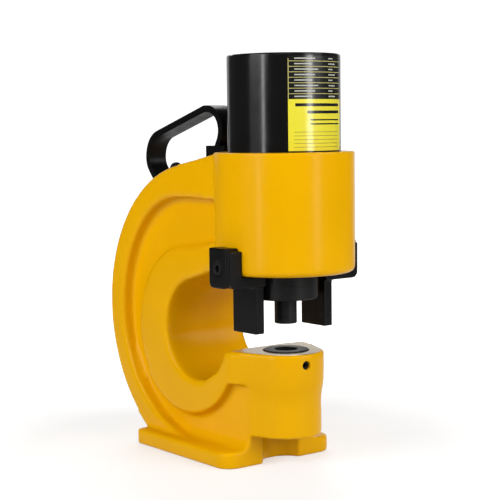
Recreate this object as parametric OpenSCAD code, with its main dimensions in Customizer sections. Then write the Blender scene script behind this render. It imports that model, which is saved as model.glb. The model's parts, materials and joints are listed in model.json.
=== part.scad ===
// Hydraulic hole punch: a cast C frame with a ram cylinder screwed into its head,
// a punch held on the ram by a ring nut, and a die let into the anvil below it.
// Lengths are in millimetres. +X is the open front, +Z is up, and the origin is
// the centre of the underside of the base plate.

/* [Base] */
// Length of the base plate, front to back
base_l = 146.5; // [140:0.5:156]
// Width of the base plate
base_w = 128.5; // [118:0.5:140]
// Thickness of the base plate
base_t = 15; // [12:0.5:18]
// Corner radius at the front of the base plate
base_front_r = 15.5; // [8:0.5:18]
// Corner radius at the back of the base plate
base_rear_r = 5; // [3:0.5:12]
// Height of the fillet where the web meets the base plate
foot_fillet = 9; // [5:0.5:10]

/* [C frame] */
// Distance of the punch axis ahead of the front of the base plate
punch_overhang = 8.3; // [5:0.1:11]
// Outer radius of the curved back
rim_r = 142; // [138:0.5:146]
// Radial thickness of the rim round the back
rim_t = 24.8; // [20:0.1:28]
// Width of the rim
rim_w = 100; // [90:0.5:106]
// Distance of the rim's centre behind the punch axis
rim_back = 79.6; // [76:0.1:84]
// Height of the head above the top of the curved back
crown_rise = 10.5; // [8:0.1:16]
// Distance behind the punch axis where the crown meets the top of the head
crown_back = 30; // [24:0.5:34]
// Depth of the plain band below the top of the head
brow_drop = 42.5; // [38:0.5:50]
// Thickness of the recessed web
web_w = 74; // [68:0.5:78]

/* [Throat] */
// Radius of the throat
throat_r = 47.4; // [44:0.1:50]
// Distance of the throat's centre behind the punch axis
throat_back = 78.4; // [76:0.1:82]
// Height of the throat's centre above the anvil
throat_rise = 13.9; // [11:0.1:17]
// Distance of the front end of the throat's roof behind the punch axis
roof_back = 47; // [42:0.5:52]
// Width of the raised ring round the throat, side to side
boss_w = 94; // [88:0.5:97]
// Outer radius of the raised ring
boss_r = 79.4; // [76:0.1:83]
// Distance of the raised ring's centre behind the punch axis
boss_back = 96.2; // [94:0.1:99]
// Height of the raised ring's centre above the anvil
boss_rise = 11.4; // [9:0.1:14]
// Width of the raised ring's land above the throat's roof
roof_land = 26; // [22:0.5:29]

/* [Anvil and die] */
// Height of the top of the anvil
anvil_top = 104.5; // [101:0.5:108]
// Radius of the anvil's nose
anvil_r = 34.6; // [33.5:0.1:37]
// Radius of the neck below the anvil's head
neck_r = 32; // [29:0.1:33]
// Angle at which each side of the anvil widens towards the back
anvil_taper = 22; // [18:0.5:26]
// Height of the anvil's wide head
anvil_head_h = 30; // [26:0.5:33]
// Height of the slug chute below the anvil
chute_h = 28; // [25:0.5:32]
// Radius of the slug chute
chute_r = 22.6; // [19:0.1:25]
// Outer diameter of the die
die_d = 42.5; // [40:0.5:46]
// Height of the die
die_h = 29; // [25:0.5:32]
// Height of the die above the anvil
die_proud = 1; // [0.5:0.1:1.5]
// Diameter of the slug passage below the die
slug_d = 28; // [26:0.5:31]
// Diameter of the die's set screw
die_screw_d = 8; // [6:0.5:9]
// Length of the die's set screw
die_screw_l = 10; // [8:0.5:11]

/* [Punch and ram] */
// Diameter of the punch
punch_d = 20.5; // [17:0.5:21.5]
// Length of the punch below the ring nut
punch_show = 23; // [20:0.5:26]
// Diameter of the punch's flange
punch_flange_d = 36; // [32:0.5:40]
// Thickness of the punch's flange
punch_flange_t = 6; // [5:0.5:7]
// Diameter of the ring nut
nut_d = 59; // [56:0.5:60]
// Height of the ring nut
nut_h = 22.5; // [20.5:0.5:24.5]
// Thickness of the ring nut's lip
nut_lip_t = 5; // [4:0.5:6]
// Diameter of the ram's threaded nose
nose_d = 46; // [43:0.5:48]
// Diameter of the ram's rod
rod_d = 50; // [49:0.5:54]
// Length of the piston
piston_l = 30; // [26:0.5:34]
// Depth to which the punch enters the die at full stroke
die_entry = 4; // [2:0.5:6]

/* [Head and cylinder] */
// Radius of the head
head_r = 63.3; // [61:0.1:65]
// Clear height between the anvil and the head
daylight = 72; // [70:0.5:75]
// Rounding of the head's lower edge
head_edge_r = 5; // [3:0.5:7]
// Thickness of the floor of the head
head_floor = 23.5; // [21:0.5:27]
// Outer diameter of the cylinder
cyl_d = 102; // [98:0.5:106]
// Bore of the cylinder
cyl_bore = 80; // [77:0.5:84]
// Height of the cylinder above the head
cyl_show = 86.3; // [80:0.1:92]
// Thickness of the cylinder's closed end
cyl_cap = 40; // [36:0.5:44]
// Outer diameter of the rod's guide bush
bush_d = 62; // [60:0.5:66]
// Wire diameter of the return spring
spring_wire = 7; // [5:0.5:7.5]

/* [Stripper] */
// Lower end of the stripper legs above the anvil
leg_gap = 19.5; // [17:0.5:22]
// Thickness of the stripper legs
leg_t = 10; // [8:0.5:11]
// Thickness of the stripper's flange below the head
strip_flange_t = 10; // [8:0.5:11]
// Thickness of the stripper's side plate beside the head
strip_side_t = 10.7; // [9:0.1:12]
// Height of the stripper's side plate above the underside of the head
strip_side_h = 23; // [20:0.5:26]

/* [Handle] */
// Width of the handle's strap
strap_w = 20; // [16:0.5:26]
// Thickness of the handle's strap
strap_t = 6.5; // [5:0.5:8]
// Height of the top of the handle above the head
grip_rise = 43.5; // [40:0.1:48]
// Drop of the grip towards the back
grip_drop = 29; // [24:0.5:34]

/* [Hydraulic port] */
// Direction of the hydraulic port round the cylinder, from the front
port_angle = 141; // [130:1:150]
// Diameter of the port's thread
port_d = 17; // [15:0.5:19]
// Length of the coupler's body
coupler_l = 38; // [34:0.5:42]
// Outer diameter of the coupler's threaded nose
coupler_d = 26; // [25:0.5:28]

/* [Rating plate] */
// Height of the rating plate
label_h = 82; // [60:1:84]
// Angle that the rating plate spans
label_angle = 70; // [50:1:90]

/* [Hidden] */
$fn = 96;

// Clearances and overruns
cut = 1;
running_gap = 0.05;
thread_gap = 0.1;
seat_gap = 0.05;
ring_gap = 0.3;
die_clearance = 0.4;

// Heights, from the ground up
die_top = anvil_top + die_proud;
die_bottom = die_top - die_h;
neck_top = anvil_top - anvil_head_h;
neck_blend_h = 10;
head_bottom = anvil_top + daylight;
cyl_seat = head_bottom + head_floor;
rim_z = base_t + rim_r - rim_t;
head_top = rim_z + rim_r + crown_rise;
brow_z = head_top - brow_drop;
cyl_top = head_top + cyl_show;
bore_end = cyl_top - cyl_cap;
port_z = cyl_top - cyl_cap / 2;

// Places along the frame
base_front = base_l / 2;
punch_x = base_front + punch_overhang;
rim_x = punch_x - rim_back;
rim_in = rim_r - rim_t;
throat_x = punch_x - throat_back;
throat_z = anvil_top + throat_rise;
boss_x = punch_x - boss_back;
boss_z = anvil_top + boss_rise;

// Tangent from a point to a circle, on the side away from the front
function reach_angle(c, p) = atan2(p[1] - c[1], p[0] - c[0]);
function tangent_angle(c, r, p) = reach_angle(c, p) + acos(r / norm(p - c));
function on_circle(c, r, a) = c + r * [cos(a), sin(a)];
rim_c = [rim_x, rim_z];
crown_front = [punch_x - crown_back, head_top];
crown_start = on_circle(rim_c, rim_r, tangent_angle(rim_c, rim_r, crown_front));
throat_c = [throat_x, throat_z];
roof_front = [punch_x - roof_back, head_bottom];
roof_start = on_circle(throat_c, throat_r, tangent_angle(throat_c, throat_r, roof_front));
roof_slope = reach_angle(roof_start, roof_front);

// Rounded upper corner of the recess, and the raised ring's land that rises to the head
brow_r = 90;
brow_low = brow_z - brow_r;
brow_c = [rim_x - sqrt(pow(rim_in - brow_r, 2) - pow(brow_low - rim_z, 2)), brow_low];
brow_turn = reach_angle(rim_c, brow_c);
boss_c = [boss_x, boss_z];
land_angle = 88;
land_reach = 20;
land_rear = on_circle(boss_c, boss_r, land_angle);
land_front = roof_front + roof_land * [-sin(roof_slope), cos(roof_slope)];

// Ring nut, punch and ram, with the ram drawn up
nut_gap = 1.5;
nut_top = head_bottom - nut_gap;
nut_bottom = nut_top - nut_h;
punch_tip = nut_bottom - punch_show;
flange_bottom = nut_bottom + nut_lip_t;
nose_bottom = flange_bottom + punch_flange_t;
pip_d = 2.4;
pip_h = 1.2;
spanner_hole_d = 5;
spanner_hole_depth = 5;
spanner_hole_angle = 141;
stroke = punch_tip - die_top + die_entry;
piston_gap = 2;
piston_top = bore_end - piston_gap;
piston_bottom = piston_top - piston_l;
piston_d = cyl_bore - 2 * running_gap;
seal_depth = 6;
seal_h = 6;
seal_drop = 6;
backup_h = 2.5;
wear_depth = 2.5;
wear_h = 8;
wear_rise = 4;
wiper_h = 6;

// Springs
coil_steps = 12;
coil_sides = 6;
spring_turns = 8;
spring_mean_d = (rod_d + cyl_bore) / 2;
spring_h = piston_bottom - cyl_seat - 2 * ring_gap;

// Die
die_hole_d = punch_d + 2 * die_clearance;
die_land_h = 8;
die_relief = 1.5;
die_fit_gap = 0.05;
die_edge = 1;
die_screw_drop = 9.7;
die_screw_z = anvil_top - die_screw_drop;
die_screw_angle = -7;
socket_share = 0.5;
socket_depth_share = 0.5;

// Stripper, measured from the punch axis
strip_back = 13;
strip_front = 16.2;
leg_back = 20;
leg_front = 13.4;
leg_in = 34.8;
ear_l = 25;
ear_proud = 2;
ear_up = 2.7;
ear_r = 5;
strip_corner_r = 6;
nut_clear = 1;
strip_screw_d = 8;
strip_screw_head_d = 12;
strip_screw_head_h = 6;
strip_screw_l = 30;
strip_screw_rise = 7.5;
strip_screw_x = punch_x - strip_back + ear_l / 2;
strip_screw_z = head_bottom + strip_screw_rise;
strip_out = head_r + strip_side_t;
ear_out = strip_out + ear_proud;
leg_bottom = anvil_top + leg_gap;

// Handle, in side view: places measured from the punch axis, the top of the head and the rear foot
front_foot_back = 92.5;
post_lean = 30;
knee_back = 109;
heel_out = 30.9;
heel_h = 25.2;
foot_angle = 133;
front_foot_x = punch_x - front_foot_back;
knee_x = punch_x - knee_back;
rear_foot = on_circle(rim_c, rim_r, foot_angle);
heel_x = rear_foot[0] - heel_out;
strap_top = head_top + grip_rise - strap_t / 2;
grip_low = strap_top - grip_drop;
heel_low = grip_low - heel_h;
post_r = 20.5;
knee_r = 14;
heel_r = 24;
foot_bend_r = 17;
block_up = 5.1;
block_front = 15.6;
block_back = 14;
rear_flange_l = 34;
rear_screw_step = 5;
front_screw_back = 7.7;
foot_gap = 0.05;
block_top = head_top + block_up;
block_low = crown_start[1] - strap_t;
post_z = block_top - strap_t;
handle_path = [
    [front_foot_x, post_z],
    [front_foot_x + (strap_top - post_z) * tan(post_lean), strap_top],
    [knee_x, strap_top],
    [heel_x, grip_low],
    [heel_x, heel_low],
    rear_foot];
handle_bends = [post_r, knee_r, heel_r, foot_bend_r];
bend_steps = 10;
handle_screw_d = 5;
handle_screw_head_d = 9.6;
handle_screw_l = 28;
front_screw_x = front_foot_x - front_screw_back;
rear_screw_angle = foot_angle - rear_screw_step;

// Plug screw on the crown
plug_angle = 106.2;
plug_side = 36;
plug_d = 12;
plug_h = 6;
plug_shank_d = 8;
plug_shank_l = 12;

// Hydraulic port and coupler, measured outwards from the cylinder's axis
spot_face = 2.6;
spot_d = 31;
port_depth = 16;
oilway_d = 8;
oilway_in = 20;
washer_d = 27;
washer_t = 2;
hex_af = 27;
hex_l = 12;
nipple_l = 12;
valve_d = 16;
mouth_d = 10;
mouth_l = 7;
poppet_d = 13;
poppet_l = 6;
poppet_wire = 1.4;
poppet_turns = 5;
collar_d = 30;
collar_l = 18;
cap_wall = 2.6;
cap_end = 3;
cap_grip = 16;
face_r = cyl_d / 2 - spot_face;
hex_in = face_r + washer_t;
body_in = hex_in + hex_l;
body_out = body_in + coupler_l;
socket_end = body_in + nipple_l;
valve_in = socket_end;
seat_r = body_out - mouth_l;
poppet_out = seat_r - ring_gap;
poppet_in = poppet_out - poppet_l;
cap_in = body_out - cap_grip;

// Rating plate
label_t = 0.3;
label_rise = 1.3;

// Helpers

// Side view outline, made solid across the machine
module across(w) {
    rotate([90, 0, 0])
        linear_extrude(w, center = true)
            children();
}

// Turned ring
module ring(outer_d, inner_d, h) {
    difference() {
        cylinder(d = outer_d, h = h);
        translate([0, 0, -cut])
            cylinder(d = inner_d, h = h + 2 * cut);
    }
}

module on_axis(z) {
    translate([punch_x, 0, z])
        children();
}

// Hexagon across flats
module hexagon(af, h) {
    cylinder(d = af / cos(30), h = h, $fn = 6);
}

// Screw with a domed head seated at zero, its shank pointing down
module button_screw(head_d, head_h, shank_d, shank_l) {
    ball_r = (head_d * head_d / 4 + head_h * head_h) / (2 * head_h);
    difference() {
        union() {
            rotate_extrude()
                intersection() {
                    translate([0, head_h - ball_r])
                        circle(r = ball_r);
                    square([head_d / 2, head_h]);
                }
            translate([0, 0, -shank_l])
                cylinder(d = shank_d, h = shank_l + head_h / 2);
        }
        translate([0, 0, head_h * socket_depth_share])
            hexagon(shank_d * socket_share, head_h);
    }
}

// Countersunk screw, its head flush with zero and its shank pointing down
module countersunk(head_d, shank_d, shank_l) {
    head_h = (head_d - shank_d) / 2;
    translate([0, 0, -head_h])
        cylinder(d1 = shank_d, d2 = head_d, h = head_h);
    translate([0, 0, -shank_l])
        cylinder(d = shank_d, h = shank_l - head_h / 2);
}

// Outline of a strap of even thickness along a path whose corners are bent to given radii
function unit(v) = v / norm(v);
function left_of(p, q, by) = by * unit([p[1] - q[1], q[0] - p[0]]);
function corner_half(p, q, s) = acos(unit(p - q) * unit(s - q)) / 2;
function corner_centre(p, q, s, r) = q + unit(unit(p - q) + unit(s - q)) * r / sin(corner_half(p, q, s));
function corner_points(p, q, s, r, by) =
    let (c = corner_centre(p, q, s, r), mid = reach_angle(c, q), turn = 90 - corner_half(p, q, s),
        way = sign(cross(q - p, s - q)))
        [for (k = [0 : bend_steps])
            on_circle(c, r - way * by, mid + way * turn * (2 * k / bend_steps - 1))];
function strap_side(path, radii, by) =
    let (last = len(path) - 1)
        [path[0] + left_of(path[0], path[1], by),
            for (i = [1 : last - 1])
                each corner_points(path[i - 1], path[i], path[i + 1], radii[i - 1], by),
            path[last] + left_of(path[last - 1], path[last], by)];
function reversed(list) = [for (i = [len(list) - 1 : -1 : 0]) list[i]];
module strap(path, radii, t) {
    polygon(concat(strap_side(path, radii, -t / 2), reversed(strap_side(path, radii, t / 2))));
}

// Coil spring standing on zero: one open helix of round wire
function coil_points(mean_d, wire, turns, h) = [
    for (i = [0 : turns * coil_steps])
        let (a = 360 * i / coil_steps, rise = (h - wire) * i / (turns * coil_steps))
            [mean_d / 2 * cos(a), mean_d / 2 * sin(a), wire / 2 + rise]];
function coil_gap(p, wire) = min([
    for (i = [0 : len(p) - 1])
        for (j = [i + 1 : len(p) - 1])
            if (j - i > coil_steps / 2)
                norm(p[i] - p[j])]) - wire;
module coil(mean_d, wire, turns, h) {
    centres = coil_points(mean_d, wire, turns, h);
    n = len(centres);
    s = coil_sides;
    points = [
        for (i = [0 : n - 1])
            for (k = [0 : s - 1])
                let (a = 360 * i / coil_steps, b = 360 * k / s)
                    centres[i] + wire / 2 * [cos(b) * cos(a), cos(b) * sin(a), sin(b)]];
    sides = [
        for (i = [0 : n - 2])
            for (k = [0 : s - 1])
                let (m = (k + 1) % s)
                    each [[i * s + k, i * s + m, (i + 1) * s + k],
                        [i * s + m, (i + 1) * s + m, (i + 1) * s + k]]];
    ends = [
        for (k = [1 : s - 2])
            each [[0, k + 1, k], [(n - 1) * s, (n - 1) * s + k, (n - 1) * s + k + 1]]];
    polyhedron(points = points, faces = concat(sides, ends));
}

// Frame outlines, in side view

module rear_half() {
    intersection() {
        translate(rim_c)
            circle(r = rim_r);
        translate([rim_x - rim_r, 0])
            square([rim_r, rim_z + rim_r]);
    }
}

// Sloping crown between the curved back and the head, down to a given height
module crown(low) {
    polygon([crown_start, crown_front, [punch_x, head_top], [punch_x, low], [crown_start[0], low]]);
}

module rim_outline() {
    difference() {
        rear_half();
        difference() {
            intersection() {
                translate(rim_c)
                    circle(r = rim_in);
                translate([rim_x - rim_r, 0])
                    square([2 * rim_r, brow_z]);
            }
            brow_corner();
        }
    }
    crown(brow_z);
}

// What is left standing in the upper corner of the recess
module brow_corner() {
    arc = [
        for (k = [0 : bend_steps])
            on_circle(brow_c, brow_r, brow_turn - (brow_turn - 90) * k / bend_steps)];
    polygon(concat([[brow_c[0], brow_z + cut], [rim_x - rim_in, brow_z + cut],
        on_circle(rim_c, rim_in + cut, brow_turn)], arc));
}

module throat_outline() {
    front = punch_x + head_r + cut;
    translate(throat_c)
        circle(r = throat_r);
    polygon([throat_c, roof_start, roof_front, [front, head_bottom], [front, anvil_top],
        [throat_x, anvil_top]]);
}

module web_outline() {
    rear_half();
    crown(head_bottom);
    translate([rim_x - cut, 0])
        square([base_front - rim_x + cut, chute_h]);
}

// Raised ring round the throat, with its land that rises to the head
module boss_outline() {
    land_end = land_front + land_reach * unit(land_front - land_rear);
    translate(boss_c)
        circle(r = boss_r);
    polygon([boss_c, [land_end[0], head_bottom], land_end, land_rear]);
}

// Plan of the anvil from the punch axis back: round nose, then sides that widen to a given width
module anvil_plan(nose_r, wide) {
    touch = nose_r * [sin(anvil_taper), cos(anvil_taper)];
    widen_x = touch[0] - (wide / 2 - touch[1]) / tan(anvil_taper);
    back = -boss_back - boss_r - cut;
    circle(r = nose_r);
    polygon([touch, [widen_x, wide / 2], [back, wide / 2], [back, -wide / 2], [widen_x, -wide / 2],
        [touch[0], -touch[1]]]);
}

module base_outline() {
    square([base_l - 2 * max(base_front_r, base_rear_r), base_w], center = true);
    base_end(base_front_r);
    mirror([1, 0])
        base_end(base_rear_r);
}

// One end of the base plate with its two rounded corners
module base_end(r) {
    inner_w = base_w - 2 * r;
    translate([0, -inner_w / 2])
        square([base_l / 2, inner_w]);
    translate([0, -base_w / 2])
        square([base_l / 2 - r, base_w]);
    for (y = [-1, 1])
        translate([base_l / 2 - r, y * inner_w / 2])
            circle(r = r);
}

// Fillet along the web's foot, on both sides
module foot_fillets() {
    for (side = [0, 1])
        mirror([0, side, 0])
            translate([rim_x - rim_in / 2, web_w / 2, base_t])
                rotate([90, 0, 90])
                    linear_extrude(base_front - rim_x + rim_in / 2)
                        difference() {
                            translate([-cut, -cut])
                                square([foot_fillet + cut, foot_fillet + cut]);
                            translate([foot_fillet, foot_fillet])
                                circle(r = foot_fillet);
                        }
}

// Head with its rounded lower edge
module head_blank() {
    on_axis(head_bottom)
        rotate_extrude() {
            translate([0, head_edge_r])
                square([head_r, head_top - head_bottom - head_edge_r]);
            square([head_r - head_edge_r, head_top - head_bottom]);
            translate([head_r - head_edge_r, head_edge_r])
                circle(r = head_edge_r);
        }
}

// Anvil's head and neck, and the raised ring that runs into them
module anvil_blank() {
    on_axis(chute_h)
        linear_extrude(neck_top - chute_h + cut)
            intersection() {
                anvil_plan(neck_r, web_w);
                translate([-rim_back - cut, -web_w / 2])
                    square([rim_back + cut + anvil_r, web_w]);
            }
    on_axis(neck_top - neck_blend_h)
        cylinder(r1 = neck_r, r2 = anvil_r, h = neck_blend_h);
    on_axis(neck_top)
        linear_extrude(anvil_head_h)
            intersection() {
                anvil_plan(anvil_r, boss_w);
                translate([-rim_back, -boss_w / 2])
                    square([rim_back + anvil_r, boss_w]);
            }
    intersection() {
        across(boss_w)
            boss_outline();
        on_axis(0)
            linear_extrude(head_top)
                anvil_plan(anvil_r, boss_w);
    }
}

// Places that more than one piece shares

module at_port() {
    translate([punch_x, 0, port_z])
        rotate([0, 0, port_angle])
            rotate([0, 90, 0])
                children();
}

module at_die_screw() {
    translate([punch_x, 0, die_screw_z])
        rotate([0, 0, die_screw_angle])
            rotate([0, 90, 0])
                children();
}

module at_strip_screws(sides) {
    for (side = sides)
        translate([strip_screw_x, side * ear_out, strip_screw_z])
            rotate([-side * 90, 0, 0])
                children();
}

// Seat on the curved back at an angle round the rim's centre, its outward side up
module at_rim(angle, side) {
    seat = on_circle(rim_c, rim_r, angle);
    translate([seat[0], side, seat[1]])
        rotate([0, 90 - angle, 0])
            children();
}

module at_front_foot() {
    translate([front_screw_x, 0, block_top])
        children();
}

module at_rear_foot() {
    at_rim(rear_screw_angle, 0)
        translate([0, 0, strap_t])
            children();
}

// Sub-parts

module c_frame() {
    color("gold")
        difference() {
            union() {
                linear_extrude(base_t)
                    base_outline();
                foot_fillets();
                across(rim_w)
                    rim_outline();
                difference() {
                    union() {
                        across(web_w)
                            web_outline();
                        anvil_blank();
                    }
                    across(rim_w)
                        throat_outline();
                }
                head_blank();
            }
            on_axis(cyl_seat)
                cylinder(d = cyl_d + 2 * thread_gap, h = head_top - cyl_seat + cut);
            on_axis(head_bottom - cut)
                cylinder(d = bush_d + 2 * seat_gap, h = head_floor + 2 * cut);
            on_axis(die_bottom)
                cylinder(d = die_d + 2 * die_fit_gap, h = die_h + cut);
            on_axis(chute_h - cut)
                cylinder(d = slug_d, h = die_bottom - chute_h + 2 * cut);
            on_axis(-cut)
                cylinder(r = chute_r, h = chute_h + cut);
            at_die_screw()
                cylinder(d = die_screw_d + 2 * running_gap, h = anvil_r + cut);
            at_strip_screws([-1, 1])
                translate([0, 0, -strip_screw_l - cut])
                    cylinder(d = strip_screw_d + 2 * thread_gap, h = strip_screw_l + cut);
            at_front_foot()
                translate([0, 0, -handle_screw_l - cut])
                    cylinder(d = handle_screw_d + 2 * thread_gap, h = handle_screw_l + cut);
            at_rear_foot()
                translate([0, 0, -handle_screw_l - cut])
                    cylinder(d = handle_screw_d + 2 * thread_gap, h = handle_screw_l + cut);
            at_rim(plug_angle, -plug_side)
                translate([0, 0, -plug_shank_l - cut])
                    cylinder(d = plug_shank_d + 2 * thread_gap, h = plug_shank_l + 2 * cut);
        }
}

module cylinder_body() {
    color("#1e1e1f")
        difference() {
            on_axis(cyl_seat)
                cylinder(d = cyl_d, h = cyl_top - cyl_seat);
            on_axis(cyl_seat - cut)
                cylinder(d = cyl_bore, h = bore_end - cyl_seat + cut);
            at_port()
                translate([0, 0, face_r])
                    cylinder(d = spot_d, h = cyl_d);
            at_port()
                translate([0, 0, face_r - port_depth])
                    cylinder(d = port_d, h = port_depth + cut);
            at_port()
                translate([0, 0, oilway_in - oilway_d / 2])
                    cylinder(d = oilway_d, h = face_r - oilway_in);
            translate([punch_x, 0, bore_end - cut])
                rotate([0, 0, port_angle])
                    translate([oilway_in, 0, 0])
                        cylinder(d = oilway_d, h = port_z - bore_end + cut);
        }
}

module guide_bush() {
    color("#b08d57")
        on_axis(head_bottom + wiper_h)
            ring(bush_d, rod_d + 2 * running_gap, head_floor - wiper_h);
}

module rod_wiper() {
    color("#2b2b2b")
        on_axis(head_bottom)
            ring(bush_d, rod_d + 2 * running_gap, wiper_h);
}

module return_spring() {
    color("silver")
        on_axis(cyl_seat + ring_gap)
            coil(spring_mean_d, spring_wire, spring_turns, spring_h);
}

module ram() {
    color("silver")
        difference() {
            union() {
                on_axis(nose_bottom)
                    cylinder(d = nose_d, h = nut_top - nose_bottom + cut);
                on_axis(nut_top)
                    cylinder(d = rod_d, h = piston_bottom - nut_top + cut);
                on_axis(piston_bottom)
                    cylinder(d = piston_d, h = piston_l);
            }
            on_axis(piston_top - seal_drop - seal_h)
                ring(cyl_bore + cut, piston_d - 2 * seal_depth, seal_h);
            on_axis(piston_top - seal_drop - seal_h - backup_h)
                ring(cyl_bore + cut, piston_d - 2 * seal_depth, backup_h);
            on_axis(piston_bottom + wear_rise)
                ring(cyl_bore + cut, piston_d - 2 * wear_depth, wear_h);
        }
}

// Ring in a groove of the piston, from a given height
module piston_ring(z, depth, h) {
    on_axis(z + seat_gap)
        ring(piston_d, piston_d - 2 * depth + 2 * seat_gap, h - 2 * seat_gap);
}

module piston_seal() {
    color("#303030")
        piston_ring(piston_top - seal_drop - seal_h, seal_depth, seal_h);
}

module backup_ring() {
    color("#e8e4d8")
        piston_ring(piston_top - seal_drop - seal_h - backup_h, seal_depth, backup_h);
}

module wear_ring() {
    color("#7a5c3a")
        piston_ring(piston_bottom + wear_rise, wear_depth, wear_h);
}

module punch() {
    color("#262628")
        union() {
            on_axis(punch_tip)
                cylinder(d = punch_d, h = flange_bottom - punch_tip + cut);
            on_axis(flange_bottom + seat_gap)
                cylinder(d = punch_flange_d, h = punch_flange_t - 2 * seat_gap);
            on_axis(punch_tip - pip_h)
                cylinder(d1 = 0, d2 = pip_d, h = pip_h);
        }
}

module punch_nut() {
    color("#222224")
        difference() {
            on_axis(nut_bottom)
                cylinder(d = nut_d, h = nut_h);
            on_axis(nut_bottom - cut)
                cylinder(d = punch_d + 2 * ring_gap, h = nut_h);
            on_axis(flange_bottom)
                cylinder(d = nose_d + 2 * running_gap, h = nut_h);
            on_axis(nut_bottom + nut_h / 2)
                rotate([0, 0, spanner_hole_angle])
                    rotate([0, 90, 0])
                        translate([0, 0, nut_d / 2 - spanner_hole_depth])
                            cylinder(d = spanner_hole_d, h = nut_d);
        }
}

module die() {
    color("#29292b")
        difference() {
            on_axis(die_bottom)
                union() {
                    cylinder(d = die_d, h = die_h - die_edge);
                    cylinder(d = die_d - 2 * die_edge, h = die_h);
                }
            on_axis(die_bottom - cut)
                cylinder(d = die_hole_d + 2 * die_relief, h = die_h - die_land_h + cut);
            on_axis(die_bottom)
                cylinder(d = die_hole_d, h = die_h + cut);
        }
}

module die_set_screw() {
    color("#202022")
        at_die_screw()
            translate([0, 0, die_d / 2 + ring_gap])
                difference() {
                    cylinder(d = die_screw_d, h = die_screw_l);
                    translate([0, 0, die_screw_l * socket_depth_share])
                        hexagon(die_screw_d * socket_share, die_screw_l);
                }
}

// One stripper bracket, on the side that the sign gives
module stripper(side) {
    flange_z = head_bottom - strip_flange_t;
    color("#1b1b1d")
        difference() {
            union() {
                translate([punch_x - strip_back, 0, 0])
                    rotate([90, 0, 90])
                        linear_extrude(strip_front + strip_back)
                            stripper_end(side, flange_z);
                translate([punch_x - strip_back, side > 0 ? ear_out : cut - strip_out, flange_z])
                    rotate([90, 0, 0])
                        linear_extrude(ear_proud + cut)
                            ear_outline(strip_flange_t + strip_side_h + ear_up);
                translate([punch_x - strip_back, side > 0 ? leg_in : -strip_out,
                    head_bottom + strip_side_h - cut])
                    cube([ear_l, strip_out - leg_in, ear_up + cut]);
                translate([punch_x - leg_back, side > 0 ? leg_in : -leg_in - leg_t, leg_bottom])
                    cube([leg_front + leg_back, leg_t, head_bottom - leg_bottom]);
            }
            on_axis(head_bottom)
                cylinder(r = head_r + seat_gap, h = head_top - head_bottom);
            on_axis(leg_bottom)
                cylinder(d = nut_d + 2 * nut_clear, h = head_bottom - leg_bottom + cut);
            at_strip_screws([side])
                translate([0, 0, -strip_screw_l])
                    cylinder(d = strip_screw_d + 2 * thread_gap, h = strip_screw_l + cut);
            at_strip_screws([side])
                translate([0, 0, -strip_screw_head_h])
                    cylinder(d = strip_screw_head_d + 2 * thread_gap, h = strip_screw_head_h + cut);
        }
}

// Front view of a bracket: flange and side plate with a rounded outer corner
module stripper_end(side, low) {
    width = strip_out - leg_in;
    mirror([side > 0 ? 0 : 1, 0]) {
        translate([leg_in, low])
            square([width - strip_corner_r, strip_flange_t]);
        translate([leg_in, low + strip_corner_r])
            square([width, strip_flange_t + strip_side_h - strip_corner_r]);
        translate([strip_out - strip_corner_r, low + strip_corner_r])
            circle(r = strip_corner_r);
    }
}

// Side view of an ear, its lower corners rounded
module ear_outline(h) {
    translate([0, ear_r])
        square([ear_l, h - ear_r]);
    translate([ear_r, 0])
        square([ear_l - 2 * ear_r, h]);
    for (x = [ear_r, ear_l - ear_r])
        translate([x, ear_r])
            circle(r = ear_r);
}

module stripper_left() {
    stripper(1);
}

module stripper_right() {
    stripper(-1);
}

module stripper_screws() {
    color("#242426")
        at_strip_screws([-1, 1])
            difference() {
                union() {
                    translate([0, 0, -strip_screw_head_h + seat_gap])
                        cylinder(d = strip_screw_head_d, h = strip_screw_head_h - 2 * seat_gap);
                    translate([0, 0, -strip_screw_l])
                        cylinder(d = strip_screw_d, h = strip_screw_l - strip_screw_head_h + cut);
                }
                translate([0, 0, -strip_screw_head_h * socket_depth_share])
                    hexagon(strip_screw_head_d * socket_share, strip_screw_head_h);
            }
}

// Handle: bent strap with a block foot on the crown and a flange on the curved back
module handle() {
    color("#18181a")
        difference() {
            across(strap_w)
                difference() {
                    union() {
                        strap(handle_path, handle_bends, strap_t);
                        translate([front_foot_x - block_back, block_low])
                            square([block_back + block_front, block_top - block_low]);
                        rear_flange();
                    }
                    translate(rim_c)
                        circle(r = rim_r + foot_gap);
                    translate([0, foot_gap])
                        crown(rim_z);
                }
            at_front_foot()
                handle_screw_hole();
            at_rear_foot()
                handle_screw_hole();
        }
}

module handle_screw_hole() {
    head_d = handle_screw_head_d + 2 * thread_gap;
    countersunk(head_d, handle_screw_d + 2 * thread_gap, handle_screw_l + cut);
    translate([0, 0, -seat_gap])
        cylinder(d = head_d, h = cut);
}

// Flange of the rear foot, lying on the curved back, in side view
module rear_flange() {
    seat = on_circle(rim_c, rim_r, rear_screw_angle);
    translate(seat)
        rotate(rear_screw_angle - 90)
            translate([-rear_flange_l / 2, -strap_t])
                square([rear_flange_l, 2 * strap_t]);
}

module handle_screws() {
    color("#242426") {
        at_front_foot()
            handle_screw();
        at_rear_foot()
            handle_screw();
    }
}

module handle_screw() {
    difference() {
        countersunk(handle_screw_head_d, handle_screw_d, handle_screw_l);
        translate([0, 0, -handle_screw_d * socket_depth_share])
            hexagon(handle_screw_d * socket_share, handle_screw_d);
    }
}

module plug_screw() {
    color("#1c1c1e")
        at_rim(plug_angle, -plug_side)
            translate([0, 0, seat_gap])
                button_screw(plug_d, plug_h, plug_shank_d, plug_shank_l);
}

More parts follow.
